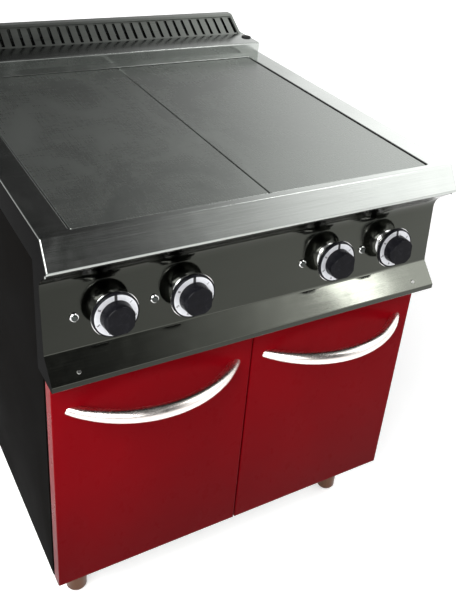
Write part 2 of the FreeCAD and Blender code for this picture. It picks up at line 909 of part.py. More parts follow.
def collar_section():
    rise = collar_height - collar_rim_height - collar_foot_height
    flare = collar_mouth_radius - collar_waist_radius
    bow_height = collar_foot_height + rise * collar_curve_share
    bow_radius = collar_waist_radius + flare * collar_bow_share
    outer_foot = V(collar_waist_radius, 0, collar_foot_height)
    outer_mouth = V(collar_mouth_radius, 0, collar_height - collar_rim_height)
    inner_foot = V(collar_waist_radius - collar_wall, 0, collar_foot_height)
    inner_mouth = V(collar_mouth_radius - collar_wall, 0, collar_height)
    outer_arc = Part.Arc(outer_foot, V(bow_radius, 0, bow_height), outer_mouth).toShape()
    inner_crown = V(bow_radius - collar_wall, 0, bow_height + collar_wall)
    inner_arc = Part.Arc(inner_mouth, inner_crown, inner_foot).toShape()
    rim = [outer_mouth, V(collar_rim_radius, 0, outer_mouth.z)]
    rim += [V(collar_rim_radius, 0, collar_height), inner_mouth]
    foot = [inner_foot, V(inner_foot.x, 0, 0), V(collar_foot_radius, 0, 0)]
    foot += [V(collar_foot_radius, 0, collar_foot_height), outer_foot]
    return [outer_arc, inner_arc] + Part.makePolygon(rim).Edges + Part.makePolygon(foot).Edges


def knob_collar(x):
    return on_panel(revolve_wire(collar_section()), x)


def knob(x):
    """Black knob: rimmed disc, ring seat and a scooped finger bar with a flat lower end."""
    low = knob_base_level
    seat = low + knob_rim_height - ring_thickness
    rim_top = low + knob_rim_height
    disc = turned([
        (0, low),
        (knob_rim_radius - knob_rim_edge, low),
        (knob_rim_radius, low + knob_rim_edge),
        (knob_rim_radius, rim_top - knob_rim_edge),
        (knob_rim_radius - knob_rim_edge, rim_top),
        (ring_outer_radius + seat_clearance, rim_top),
        (ring_outer_radius + seat_clearance, seat),
        (0, seat),
    ])
    mark = block(
        (-ring_mark_width / 2, grip_radius - ring_mark_width, seat),
        (ring_mark_width / 2, ring_outer_radius + seat_clearance, rim_top),
    )
    top = rim_top + grip_height
    grip = turned([
        (0, seat),
        (grip_radius - seat_clearance, seat),
        (grip_radius - seat_clearance, rim_top),
        (grip_top_radius, top - grip_edge),
        (grip_top_radius - grip_edge, top),
        (0, top),
    ])
    scoop_x = grip_bar_width / 2 + grip_scoop_radius
    scoop_z = rim_top + grip_scoop_foot + grip_scoop_radius
    for side in (-1, 1):
        start = V(side * scoop_x, -2 * grip_radius, scoop_z)
        grip = grip.cut(Part.makeCylinder(grip_scoop_radius, 4 * grip_radius, start, V(0, 1, 0)))
    flat = grip_radius * grip_end_share
    below = block(
        (-grip_radius, -2 * grip_radius, rim_top + grip_scoop_foot),
        (grip_radius, -flat, top + cut_overrun),
    )
    body = disc.multiFuse([mark, grip.cut(below)])
    bore_depth = knob_base_level + shaft_in_knob + knob_bore_floor
    bore = Part.makeCylinder(shaft_radius + seat_clearance, bore_depth)
    return on_panel(solid_of(body.cut(bore)), x)


def dial_ring(x):
    low = knob_base_level + knob_rim_height - ring_thickness
    ring = Part.makeCylinder(ring_outer_radius, ring_thickness, V(0, 0, low))
    ring = ring.cut(Part.makeCylinder(grip_radius, ring_thickness, V(0, 0, low)))
    half = ring_mark_width / 2 + seat_clearance
    mark = block((-half, 0, low - cut_overrun), (half, 2 * ring_outer_radius, low + cut_overrun))
    return on_panel(solid_of(ring.cut(mark)), x)


def knob_shaft(x):
    start = -shaft_in_regulator
    length = shaft_in_regulator + knob_base_level + shaft_in_knob
    shaft = Part.makeCylinder(shaft_radius, length, V(0, 0, start))
    flat_low = knob_base_level + cut_overrun
    flat = block(
        (-2 * shaft_radius, shaft_radius * shaft_flat_share, flat_low),
        (2 * shaft_radius, 2 * shaft_radius, length),
    )
    return on_panel(shaft.cut(flat), x)


def regulator(x):
    half = regulator_width / 2
    back = -panel_sheet - regulator_depth
    case = block((-half, -half, back), (half, half, -panel_sheet))
    upright = edges_where(case, lambda box: near(box.ZLength, regulator_depth))
    case = case.makeFillet(regulator_edge, upright)
    bushing = Part.makeCylinder(bushing_radius, panel_sheet + bushing_proud, V(0, 0, -panel_sheet))
    tags = []
    for u in (-1, 1):
        for v in (-1, 1):
            spot_u = u * regulator_width * tag_spread_share
            spot_v = v * regulator_width * tag_spread_share
            tag = block(
                (spot_u - tag_width / 2, spot_v - tag_thickness / 2, back - tag_length),
                (spot_u + tag_width / 2, spot_v + tag_thickness / 2, back),
            )
            tags.append(tag)
    body = case.multiFuse([bushing] + tags)
    depth = shaft_in_regulator + knob_bore_floor
    bore = Part.makeCylinder(shaft_radius + shaft_clearance, depth + 2 * bushing_proud, V(0, 0, -depth))
    return on_panel(solid_of(body.cut(bore)), x)


def lamp_bezel(x):
    bezel = turned([
        (lens_radius + seat_clearance, -bezel_barrel_length),
        (bezel_barrel_radius, -bezel_barrel_length),
        (bezel_barrel_radius, 0),
        (bezel_radius, 0),
        (bezel_radius, bezel_height - bezel_edge),
        (bezel_radius - bezel_edge, bezel_height),
        (lens_radius + seat_clearance, bezel_height),
    ])
    return on_panel(bezel, x - lamp_offset, -lamp_drop)


def pilot_lens(x):
    low = bezel_height - lens_depth
    lens = Part.makeCylinder(lens_radius, lens_height - low, V(0, 0, low))
    rim = edges_where(lens, lambda box: near(box.ZMin, lens_height))
    return on_panel(lens.makeFillet(lens_dome, rim), x - lamp_offset, -lamp_drop)


def hinge_blocks():
    """Corner blocks that hold the hinge bores, top and bottom of a right door."""
    inside_x = door_outer_x - door_sheet
    inside_y = door_back_y - door_sheet
    blocks = []
    for z in (door_bottom, door_top - hinge_block_height):
        shape = block(
            (inside_x - hinge_block_width, inside_y - hinge_block_width, z),
            (door_outer_x - door_sheet / 2, inside_y, z + hinge_block_height),
        )
        blocks.append(shape)
    return blocks


def hinge_bores():
    radius = hinge_pin_radius + shaft_clearance
    depth = hinge_pin_length + door_gap
    low_start = V(hinge_x, hinge_y, door_bottom - cut_overrun)
    low = Part.makeCylinder(radius, depth + cut_overrun, low_start)
    high = Part.makeCylinder(radius, depth + cut_overrun, V(hinge_x, hinge_y, door_top - depth))
    return Part.makeCompound([low, high])


def door_skin(side):
    """Front pan of a door, with hinge blocks in its outer corners."""
    pan = block((door_inner_x, door_face_y, door_bottom), (door_outer_x, door_back_y, door_top))
    front = edges_where(pan, lambda box: near(box.YMax, door_face_y))
    pan = pan.makeFillet(door_edge_radius, front)
    inside = block(
        (door_inner_x + door_sheet, door_face_y + door_sheet, door_bottom + door_sheet),
        (door_outer_x - door_sheet, door_back_y + cut_overrun, door_top - door_sheet),
    )
    shell = pan.cut(inside).multiFuse(hinge_blocks())
    skin = solid_of(shell.cut(hinge_bores()))
    return skin if side > 0 else mirror_x(skin)


def door_liner(side):
    """Inner pan that closes the back of a door, its lip turned towards the skin."""
    low = (door_inner_x + door_sheet, door_back_y - liner_lip, door_bottom + door_sheet)
    high = (door_outer_x - door_sheet, door_back_y, door_top - door_sheet)
    pan = block(low, high)
    inside = block(
        (low[0] + door_sheet, low[1] - cut_overrun, low[2] + door_sheet),
        (high[0] - door_sheet, high[1] - door_sheet, high[2] - door_sheet),
    )
    liner = pan.cut(inside)
    corner_x = high[0] - hinge_block_width - seat_clearance
    for z in (door_bottom, door_top - hinge_block_height - seat_clearance):
        notch = block(
            (corner_x, low[1] - cut_overrun, z),
            (door_outer_x, door_back_y - door_sheet, z + hinge_block_height + seat_clearance),
        )
        liner = liner.cut(notch)
    liner = solid_of(liner)
    return liner if side > 0 else mirror_x(liner)


def door_handle(side):
    """Bowed tube that tapers to its ends, cut flat on the door face."""
    centre_x = (door_inner_x + door_outer_x) / 2
    half = handle_span / 2
    bow_radius = (half * half + handle_rise * handle_rise) / (2 * handle_rise)
    reach = math.asin(half / bow_radius)
    bow_centre_y = door_face_y - handle_rise + bow_radius
    level = hob_height - handle_drop
    rings = []
    for index in range(handle_stations):
        share = 2 * index / (handle_stations - 1) - 1
        angle = reach * share * handle_overreach_share
        radius = handle_radius - (handle_radius - handle_end_radius) * share * share
        outward = V(math.sin(angle), -math.cos(angle), 0)
        along = V(math.cos(angle), math.sin(angle), 0)
        middle = V(centre_x, bow_centre_y, level) + outward * bow_radius
        rings.append(Part.Wire(Part.makeCircle(radius, middle, along)))
    tube = Part.makeLoft(rings, True, False)
    behind = block(
        (centre_x - handle_span, door_face_y, level - 2 * handle_radius),
        (centre_x + handle_span, door_face_y + handle_rise, level + 2 * handle_radius),
    )
    handle = solid_of(tube.cut(behind))
    return handle if side > 0 else mirror_x(handle)


def door_hinges():
    """Fixed pivot plates with their pins, above and below each door."""
    low_x = hinge_x - hinge_plate_width / 2
    front = hinge_y - hinge_plate_width / 2
    pin_length = door_gap + hinge_pin_length
    low_plate = block(
        (low_x, front, body_bottom - hinge_plate_thickness),
        (door_outer_x, body_front_y + hinge_plate_back, body_bottom),
    )
    low_pin = Part.makeCylinder(hinge_pin_radius, pin_length, V(hinge_x, hinge_y, body_bottom))
    high_bottom = panel_bottom - hinge_plate_thickness
    high_plate = block((low_x, front, high_bottom), (door_outer_x, body_front_y, panel_bottom))
    pin_start = V(hinge_x, hinge_y, high_bottom - pin_length)
    high_pin = Part.makeCylinder(hinge_pin_radius, pin_length, pin_start)
    plates = [solid_of(low_plate.fuse(low_pin)), solid_of(high_plate.fuse(high_pin))]
    return Part.makeCompound(plates + [mirror_x(plate) for plate in plates])


def door_magnets():
    """Magnetic catches on the front rail, just behind the top of each door."""
    top = door_top - magnet_height
    shape = block(
        (magnet_offset - magnet_width / 2, door_back_y + magnet_clearance, top - magnet_height),
        (magnet_offset + magnet_width / 2, body_front_y, top),
    )
    return Part.makeCompound([shape, mirror_x(shape)])


def foot_places():
    near_y = door_face_y + foot_setback
    far_y = back_y - foot_setback
    return [(-foot_x, near_y), (foot_x, near_y), (-foot_x, far_y), (foot_x, far_y)]


def foot_sockets():
    sockets = []
    bore = foot_radius + shaft_clearance
    outer = bore + socket_wall
    top = body_bottom
    low = top - socket_flange_thickness - socket_length
    for x, y in foot_places():
        socket = turned([
            (bore, low),
            (outer, low),
            (outer, top - socket_flange_thickness),
            (outer + socket_flange_width, top - socket_flange_thickness),
            (outer + socket_flange_width, top),
            (bore, top),
        ])
        socket.translate(V(x, y, 0))
        sockets.append(socket)
    return Part.makeCompound(sockets)


def foot(x, y):
    """Sliding foot: hollow tube with a bevelled pad."""
    shape = turned([
        (0, 0),
        (foot_pad_radius, 0),
        (foot_radius, foot_pad_height),
        (foot_radius, foot_top),
        (foot_radius - foot_wall, foot_top),
        (foot_radius - foot_wall, foot_pad_height),
        (0, foot_pad_height),
    ])
    shape.translate(V(x, y, 0))
    return shape


def cable_gland():
    """Gland in the rear panel, drawn about local Z, outwards, then turned to +Y."""
    nut_top = -body_sheet
    outside = hexagon(gland_hex, 0, gland_hex_length)
    dome = Part.makeCylinder(gland_dome_radius, gland_dome_length, V(0, 0, gland_hex_length))
    rim = edges_where(dome, lambda box: near(box.ZMin, gland_hex_length + gland_dome_length))
    dome = dome.makeFillet(gland_dome_edge, rim)
    thread = Part.makeCylinder(gland_thread_radius, gland_thread_length, V(0, 0, -gland_thread_length))
    nut = hexagon(gland_hex, nut_top - gland_nut_length, gland_nut_length)
    body = outside.multiFuse([dome, thread, nut])
    length = gland_thread_length + gland_hex_length + gland_dome_length
    bore = Part.makeCylinder(gland_bore_radius, length, V(0, 0, -gland_thread_length))
    gland = solid_of(body.cut(bore))
    gland.rotate(V(0, 0, 0), V(1, 0, 0), -90)
    gland.translate(V(gland_x, rear_y, gland_height))
    return gland


def terminal_block():
    back = rear_y - body_sheet
    low_z = gland_height + terminal_rise
    body = block(
        (gland_x - terminal_length / 2, back - terminal_depth, low_z),
        (gland_x + terminal_length / 2, back, low_z + terminal_height),
    )
    pitch = terminal_length / terminal_ways
    for index in range(terminal_ways):
        x = gland_x + (index - (terminal_ways - 1) / 2) * pitch
        start = V(x, back - terminal_depth, low_z + terminal_height / 2)
        body = body.cut(Part.makeCylinder(terminal_screw_radius, terminal_screw_depth, start, V(0, 1, 0)))
    return body


def screw_head():
    """Pan head about local Z, its flat under-face at zero."""
    return turned([
        (0, 0),
        (screw_head_radius, 0),
        (screw_head_radius, screw_head_height - screw_edge),
        (screw_head_radius - screw_edge, screw_head_height),
        (0, screw_head_height),
    ])


def flare_screw(x):
    line = panel_line()
    upper = V(x, door_face_y + line[3][0], line[3][1])
    lower = V(x, door_face_y + line[4][0], line[4][1])
    spot = upper + (lower - upper) * flare_screw_share
    along = (lower - upper).normalize()
    normal = along.cross(V(1, 0, 0))
    if normal.y > 0:
        normal = normal * -1
    head = screw_head()
    head.Placement = FreeCAD.Placement(spot, FreeCAD.Rotation(V(0, 0, 1), normal))
    return head


def rear_screws():
    heads = []
    low = body_bottom + base_height + rear_screw_margin
    high = skirt_bottom - rear_screw_margin
    x = body_width / 2 - body_sheet - rear_screw_margin
    for index in range(rear_screw_rows):
        z = low + (high - low) * index / (rear_screw_rows - 1)
        for side in (-1, 1):
            head = screw_head()
            head.rotate(V(0, 0, 0), V(1, 0, 0), -90)
            head.translate(V(side * x, rear_y, z))
            heads.append(head)
    return heads


def panel_screws():
    x = panel_width / 2 - flare_screw_margin
    return Part.makeCompound([flare_screw(-x), flare_screw(x)] + rear_screws())


def all_nodes():
    nodes = {
        "worktop": worktop(),
        "left_hotplate": hotplate(-1),
        "right_hotplate": hotplate(1),
        "heating_element_front_left": heating_element(-1, -1),
        "heating_element_rear_left": heating_element(-1, 1),
        "heating_element_front_right": heating_element(1, -1),
        "heating_element_rear_right": heating_element(1, 1),
        "left_element_tray": element_tray(-1),
        "right_element_tray": element_tray(1),
        "insulation_boards": insulation_boards(),
        "flue_plinth": flue_plinth(),
        "plinth_plug": plinth_plug(),
        "flue_riser": flue_riser(),
        "flue_grille": flue_grille(),
        "left_side_panel": side_panel(-1),
        "right_side_panel": side_panel(1),
        "rear_panel": rear_panel(),
        "base_panel": base_panel(),
        "front_rail": front_rail(),
        "cupboard_ceiling": cupboard_ceiling(),
        "cupboard_back": cupboard_back(),
        "control_panel": control_panel(),
        "lamp_bezels": Part.makeCompound([lamp_bezel(x) for x in knob_x]),
        "pilot_lenses": Part.makeCompound([pilot_lens(x) for x in knob_x]),
        "door_hinges": door_hinges(),
        "door_magnets": door_magnets(),
        "foot_sockets": foot_sockets(),
        "cable_gland": cable_gland(),
        "terminal_block": terminal_block(),
        "panel_screws": panel_screws(),
        "left_door_skin": door_skin(-1),
        "right_door_skin": door_skin(1),
        "left_door_liner": door_liner(-1),
        "right_door_liner": door_liner(1),
        "left_door_handle": door_handle(-1),
        "right_door_handle": door_handle(1),
    }
    for number, x in enumerate(knob_x, 1):
        nodes["knob_collar_%d" % number] = knob_collar(x)
        nodes["regulator_%d" % number] = regulator(x)
        nodes["knob_shaft_%d" % number] = knob_shaft(x)
        nodes["dial_ring_%d" % number] = dial_ring(x)
        nodes["knob_%d" % number] = knob(x)
    for number, place in enumerate(foot_places(), 1):
        nodes["foot_%d" % number] = foot(*place)
    return nodes


os.makedirs("parts", exist_ok=True)
for name, shape in all_nodes().items():
    shape.exportStep("parts/%s.step" % name)
    volume = sum(solid.Volume for solid in shape.Solids)
    print("%-30s %2d solid(s) %12.0f mm3 %s" % (name, len(shape.Solids), volume, shape.isValid()))
origin, normal, upward = panel_frame()
print("door face y", door_face_y, "back y", back_y, "knob face", origin, "normal", normal)
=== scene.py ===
import json
import math

import bmesh
import bpy
from mathutils import Euler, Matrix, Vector

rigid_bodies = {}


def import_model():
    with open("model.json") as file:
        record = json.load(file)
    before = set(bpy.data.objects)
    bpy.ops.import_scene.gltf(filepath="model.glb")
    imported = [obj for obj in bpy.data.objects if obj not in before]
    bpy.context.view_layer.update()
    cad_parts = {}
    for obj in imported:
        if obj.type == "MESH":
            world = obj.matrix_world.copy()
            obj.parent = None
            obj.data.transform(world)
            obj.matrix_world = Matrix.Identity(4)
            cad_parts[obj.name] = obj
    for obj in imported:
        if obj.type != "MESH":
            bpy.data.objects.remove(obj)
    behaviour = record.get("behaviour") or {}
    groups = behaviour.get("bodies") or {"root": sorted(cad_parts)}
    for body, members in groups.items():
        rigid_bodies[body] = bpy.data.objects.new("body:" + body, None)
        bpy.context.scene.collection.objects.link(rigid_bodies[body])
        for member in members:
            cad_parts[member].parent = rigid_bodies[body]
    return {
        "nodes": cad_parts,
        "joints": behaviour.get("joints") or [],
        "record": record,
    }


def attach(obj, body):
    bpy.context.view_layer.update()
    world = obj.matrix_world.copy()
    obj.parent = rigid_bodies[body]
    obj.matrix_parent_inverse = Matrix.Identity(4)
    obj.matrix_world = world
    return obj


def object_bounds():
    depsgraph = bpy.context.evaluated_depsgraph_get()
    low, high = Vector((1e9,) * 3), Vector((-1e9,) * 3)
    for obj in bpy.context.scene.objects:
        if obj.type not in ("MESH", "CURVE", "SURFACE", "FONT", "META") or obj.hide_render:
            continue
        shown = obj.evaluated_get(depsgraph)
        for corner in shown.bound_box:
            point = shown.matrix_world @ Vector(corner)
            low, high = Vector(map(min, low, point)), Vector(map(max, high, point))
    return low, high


for leftover in list(bpy.data.objects):
    bpy.data.objects.remove(leftover)

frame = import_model()
cad_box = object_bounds()
nodes = frame["nodes"]
joints = {joint["name"]: joint for joint in frame["joints"]}

# Photograph and camera
PHOTO_WIDTH = 465
PHOTO_HEIGHT = 598
FOCAL_PIXELS = 795.218
PRINCIPAL_POINT = (258.626, 242.066)
SENSOR_MM = 36.0
CAMERA_PLACE = (-0.67941, -1.39230, 1.51099)
CAMERA_TURN_DEGREES = (60.2439, -5.3531, -30.5910)


# Node helpers

def new_material(name, colour, metallic, roughness):
    """A principled material with its constants set on the shader's own sockets."""
    material = bpy.data.materials.new(name)
    material.use_nodes = True
    tree = material.node_tree
    shader = tree.nodes["Principled BSDF"]
    shader.inputs["Base Color"].default_value = (*colour, 1.0)
    shader.inputs["Metallic"].default_value = metallic
    shader.inputs["Roughness"].default_value = roughness
    return material, tree, shader


def noise(tree, scale, detail=4.0, roughness=0.55, distortion=0.0):
    """Noise in object space. Scale is in waves per metre along X, Y and Z."""
    coordinates = tree.nodes.new("ShaderNodeTexCoord")
    mapping = tree.nodes.new("ShaderNodeMapping")
    mapping.inputs["Scale"].default_value = scale
    texture = tree.nodes.new("ShaderNodeTexNoise")
    texture.inputs["Scale"].default_value = 1.0
    texture.inputs["Detail"].default_value = detail
    texture.inputs["Roughness"].default_value = roughness
    texture.inputs["Distortion"].default_value = distortion
    tree.links.new(coordinates.outputs["Object"], mapping.inputs["Vector"])
    tree.links.new(mapping.outputs["Vector"], texture.inputs["Vector"])
    return texture.outputs["Fac"]


def ramp(tree, factor, stops):
    """Colour ramp from (position, colour) stops."""
    node = tree.nodes.new("ShaderNodeValToRGB")
    elements = node.color_ramp.elements
    for index, (position, colour) in ((0, stops[0]), (-1, stops[-1])):
        elements[index].position = position
        elements[index].color = (*colour, 1.0)
    for position, colour in stops[1:-1]:
        elements.new(position).color = (*colour, 1.0)
    tree.links.new(factor, node.inputs["Fac"])
    return node.outputs["Color"]


def spread(tree, factor, low, high, start=0.3, end=0.7):
    """Map a factor from start..end to low..high."""
    node = tree.nodes.new("ShaderNodeMapRange")
    node.inputs["From Min"].default_value = start
    node.inputs["From Max"].default_value = end
    node.inputs["To Min"].default_value = low
    node.inputs["To Max"].default_value = high
    tree.links.new(factor, node.inputs["Value"])
    return node.outputs["Result"]


def mix_colour(tree, factor, first, second, blend="MIX"):
    node = tree.nodes.new("ShaderNodeMix")
    node.data_type = "RGBA"
    node.blend_type = blend
    for socket, value in ((node.inputs[0], factor), (node.inputs[6], first), (node.inputs[7], second)):
        if isinstance(value, bpy.types.NodeSocket):
            tree.links.new(value, socket)
        elif isinstance(value, tuple):
            socket.default_value = (*value, 1.0)
        else:
            socket.default_value = value
    return node.outputs[2]


def add_values(tree, first, second, operation="ADD"):
    node = tree.nodes.new("ShaderNodeMath")
    node.operation = operation
    tree.links.new(first, node.inputs[0])
    if isinstance(second, bpy.types.NodeSocket):
        tree.links.new(second, node.inputs[1])
    else:
        node.inputs[1].default_value = second
    return node.outputs["Value"]


def bump(tree, shader, height, strength, distance):
    node = tree.nodes.new("ShaderNodeBump")
    node.inputs["Strength"].default_value = strength
    node.inputs["Distance"].default_value = distance
    tree.links.new(height, node.inputs["Height"])
    tree.links.new(node.outputs["Normal"], shader.inputs["Normal"])


def scaled(colour, factor):
    return tuple(min(1.0, channel * factor) for channel in colour)


def part_of(tree, output, letter):
    """X, Y or Z of a texture coordinate output, in the object's own space."""
    coordinates = tree.nodes.new("ShaderNodeTexCoord")
    parts = tree.nodes.new("ShaderNodeSeparateXYZ")
    tree.links.new(coordinates.outputs[output], parts.inputs["Vector"])
    return parts.outputs[letter]


def shaded_side_faces(tree):
    """1 on faces that look along X, 0 on the others."""
    # Mask for the painted shade on the sides.
    size = add_values(tree, part_of(tree, "Normal", "X"), 0.0, "ABSOLUTE")
    return spread(tree, size, 0.0, 1.0, 0.8, 0.97)


# Materials

# Painted shade on the sides: a near-black colour, a low IOR and low specular stand in for the dark
# reflections there.
PAINTED_SHADE_SIDE_COLOUR = (0.003, 0.003, 0.003)
SHADED_SIDE_IOR = 1.02
SHADED_SHEET_SPECULAR = 0.3
SHADED_PANEL_SPECULAR = 0.2
HALF_WIDTH = cad_box[1].x
# Painted shade on the doors: the red darkens towards the bottom between these heights.
DOOR_SHADE_LOW = 0.12
DOOR_SHADE_HIGH = 0.6
DOOR_SHADE_SHARE = 0.58


def brushed_steel(name, colour, roughness, grain=(5.0, 700.0, 700.0), contrast=0.16, smudge=0.07,
                  depth=0.00002, painted_shade_sides=False, painted_light_share=0.0, painted_slope_light=0.0):
    """Stainless sheet: long fine brush lines, slow colour drift and wiped smudges.

    The dark-sides flag paints shade on the faces that look along X: near black, with the metal
    reflection switched off, standing in for dark reflections. The left-right share paints shade on
    the left and light on the right. The slope share paints light on the faces that slope up.
    """
    material, tree, shader = new_material(name, colour, 1.0, roughness)
    lines = noise(tree, grain, detail=6.0, roughness=0.7)
    drift = noise(tree, (2.2, 3.1, 4.3), detail=3.0)
    wipe = noise(tree, (14.0, 9.0, 11.0), detail=7.0, roughness=0.65, distortion=0.8)
    dark, light = scaled(colour, 1 - contrast), scaled(colour, 1 + contrast)
    tint = ramp(tree, lines, [(0.3, dark), (0.7, light)])
    slow = ramp(tree, drift, [(0.35, scaled(colour, 0.86)), (0.65, scaled(colour, 1.1))])
    tone_and_painted_light = mix_colour(tree, 0.5, tint, slow)
    # Painted light and shade: darker on the left, lighter on the right, across X.
    if painted_light_share:
        across = spread(tree, part_of(tree, "Object", "X"), 0.0, 1.0, -HALF_WIDTH, HALF_WIDTH)
        low, high = (1 - painted_light_share,) * 3, (1 + painted_light_share,) * 3
        tone_and_painted_light = mix_colour(tree, 1.0, tone_and_painted_light, ramp(tree, across, [(0.0, low), (1.0, high)]), "MULTIPLY")
    # Painted light: faces that slope up are made lighter.
    if painted_slope_light:
        lit_slope_mask = spread(tree, part_of(tree, "Normal", "Z"), 0.0, 1.0, 0.2, 0.55)
        tone_and_painted_light = mix_colour(tree, lit_slope_mask, tone_and_painted_light, scaled(colour, painted_slope_light))
    # Painted shade: faces along X go near black with their metal reflection switched off, standing in for
    # dark reflections.
    if painted_shade_sides:
        shaded_sides = shaded_side_faces(tree)
        tone_and_painted_light = mix_colour(tree, shaded_sides, tone_and_painted_light, PAINTED_SHADE_SIDE_COLOUR)
        tree.links.new(spread(tree, shaded_sides, 1.0, 0.0, 0.0, 1.0), shader.inputs["Metallic"])
        shader.inputs["IOR"].default_value = SHADED_SIDE_IOR
        shader.inputs["Specular IOR Level"].default_value = SHADED_SHEET_SPECULAR
    tree.links.new(tone_and_painted_light, shader.inputs["Base Color"])
    base = spread(tree, lines, roughness - 0.04, roughness + 0.05)
    marks = spread(tree, wipe, 0.0, smudge, 0.45, 0.75)
    tree.links.new(add_values(tree, base, marks), shader.inputs["Roughness"])
    bump(tree, shader, lines, 0.35, depth)
    return material


def hotplate_steel(name):
    """Ground plate: crossing grinding lines, heat stains and a dry dusty film."""
    colour = (0.24, 0.256, 0.24)
    material, tree, shader = new_material(name, colour, 0.92, 0.28)
    along = noise(tree, (380.0, 14.0, 60.0), detail=5.0, roughness=0.7)
    across = noise(tree, (18.0, 300.0, 60.0), detail=5.0, roughness=0.7)
    stain = noise(tree, (5.5, 4.2, 5.0), detail=6.0, roughness=0.62, distortion=1.2)
    speck = noise(tree, (240.0, 240.0, 240.0), detail=3.0)
    ground = add_values(tree, along, across)
    ground = add_values(tree, ground, 0.5, "MULTIPLY")
    tint = ramp(tree, ground, [(0.34, scaled(colour, 0.88)), (0.66, scaled(colour, 1.15))])
    stained = ramp(tree, stain, [(0.3, scaled(colour, 0.8)), (0.52, colour), (0.74, scaled(colour, 1.25))])
    mixed = mix_colour(tree, 0.55, tint, stained)
    specks = ramp(tree, speck, [(0.68, (0.0, 0.0, 0.0)), (0.76, (0.6, 0.6, 0.6))])
    final = mix_colour(tree, specks, mixed, scaled(colour, 1.5))
    tree.links.new(final, shader.inputs["Base Color"])
    rough = spread(tree, ground, 0.22, 0.3)
    film = spread(tree, stain, -0.03, 0.06)
    tree.links.new(add_values(tree, rough, film), shader.inputs["Roughness"])
    bump(tree, shader, ground, 0.3, 0.00003)
    return material


def red_enamel(name):
    """Baked enamel with a faint orange peel and dust, with painted shade that darkens it towards the floor.
    """
    colour = (0.24, 0.0018, 0.0055)
    material, tree, shader = new_material(name, colour, 0.0, 0.3)
    drift = noise(tree, (2.6, 2.6, 1.7), detail=3.0)
    peel = noise(tree, (420.0, 420.0, 420.0), detail=2.0)
    dust = noise(tree, (34.0, 34.0, 22.0), detail=7.0, roughness=0.7)
    tint = ramp(tree, drift, [(0.3, scaled(colour, 0.85)), (0.7, scaled(colour, 1.12))])
    # Painted shade: darker towards the bottom of the door.
    height = spread(tree, part_of(tree, "Object", "Z"), 0.0, 1.0, DOOR_SHADE_LOW, DOOR_SHADE_HIGH)
    painted_shade = ramp(tree, height, [(0.0, (DOOR_SHADE_SHARE,) * 3), (1.0, (1.0, 1.0, 1.0))])
    tree.links.new(mix_colour(tree, 1.0, tint, painted_shade, "MULTIPLY"), shader.inputs["Base Color"])
    tree.links.new(spread(tree, dust, 0.24, 0.36), shader.inputs["Roughness"])
    shader.inputs["IOR"].default_value = 1.12
    shader.inputs["Specular IOR Level"].default_value = 0.3
    bump(tree, shader, peel, 0.12, 0.00006)
    return material


def painted_shade_panel(name, colour=(0.0025, 0.0022, 0.0019), roughness=0.34):
    """Dark side panel: near black with reflections held back, painted shade standing in for the dark
    reflections on the sides; smooth coat with fine grain and handling marks.
    """
    material, tree, shader = new_material(name, colour, 0.0, roughness)
    grain = noise(tree, (900.0, 900.0, 900.0), detail=2.0)
    drift = noise(tree, (3.0, 3.0, 3.0), detail=5.0, distortion=0.6)
    tint = ramp(tree, drift, [(0.32, scaled(colour, 0.7)), (0.7, scaled(colour, 1.7))])
    tree.links.new(tint, shader.inputs["Base Color"])
    tree.links.new(spread(tree, drift, roughness - 0.06, roughness + 0.1), shader.inputs["Roughness"])
    # Painted shade: low IOR and specular keep the panel from reflecting the pale studio.
    shader.inputs["IOR"].default_value = SHADED_SIDE_IOR
    shader.inputs["Specular IOR Level"].default_value = SHADED_PANEL_SPECULAR
    bump(tree, shader, grain, 0.2, 0.00005)
    return material


def chrome(name):
    """Polished plated metal with faint polishing haze."""
    colour = (0.82, 0.82, 0.82)
    material, tree, shader = new_material(name, colour, 1.0, 0.14)
    haze = noise(tree, (60.0, 60.0, 60.0), detail=6.0, roughness=0.65)
    tint = ramp(tree, haze, [(0.35, scaled(colour, 0.85)), (0.68, scaled(colour, 1.12))])
    tree.links.new(tint, shader.inputs["Base Color"])
    tree.links.new(spread(tree, haze, 0.1, 0.2), shader.inputs["Roughness"])
    bump(tree, shader, haze, 0.05, 0.00005)
    return material


def moulded_plastic(name, colour=(0.006, 0.006, 0.0075), roughness=0.2, gloss=1.15):
    """Black moulded plastic with a fine mould grain and worn sheen."""
    material, tree, shader = new_material(name, colour, 0.0, roughness)
    grain = noise(tree, (1500.0, 1500.0, 1500.0), detail=2.0)
    wear = noise(tree, (70.0, 70.0, 70.0), detail=6.0, roughness=0.7)
    tint = ramp(tree, wear, [(0.4, colour), (0.75, scaled(colour, 1.8))])
    tree.links.new(tint, shader.inputs["Base Color"])
    tree.links.new(spread(tree, wear, roughness - 0.05, roughness + 0.12), shader.inputs["Roughness"])
    shader.inputs["IOR"].default_value = gloss
    bump(tree, shader, grain, 0.18, 0.00003)
    return material


def dial_silver(name):
    """Satin silver dial film."""
    colour = (0.72, 0.73, 0.76)
    material, tree, shader = new_material(name, colour, 0.3, 0.36)
    grain = noise(tree, (1200.0, 1200.0, 1200.0), detail=3.0)
    film = noise(tree, (45.0, 45.0, 45.0), detail=5.0)
    tint = ramp(tree, film, [(0.3, scaled(colour, 0.88)), (0.7, scaled(colour, 1.1))])
    tree.links.new(tint, shader.inputs["Base Color"])
    tree.links.new(spread(tree, grain, 0.3, 0.44), shader.inputs["Roughness"])
    bump(tree, shader, grain, 0.1, 0.00002)
    return material


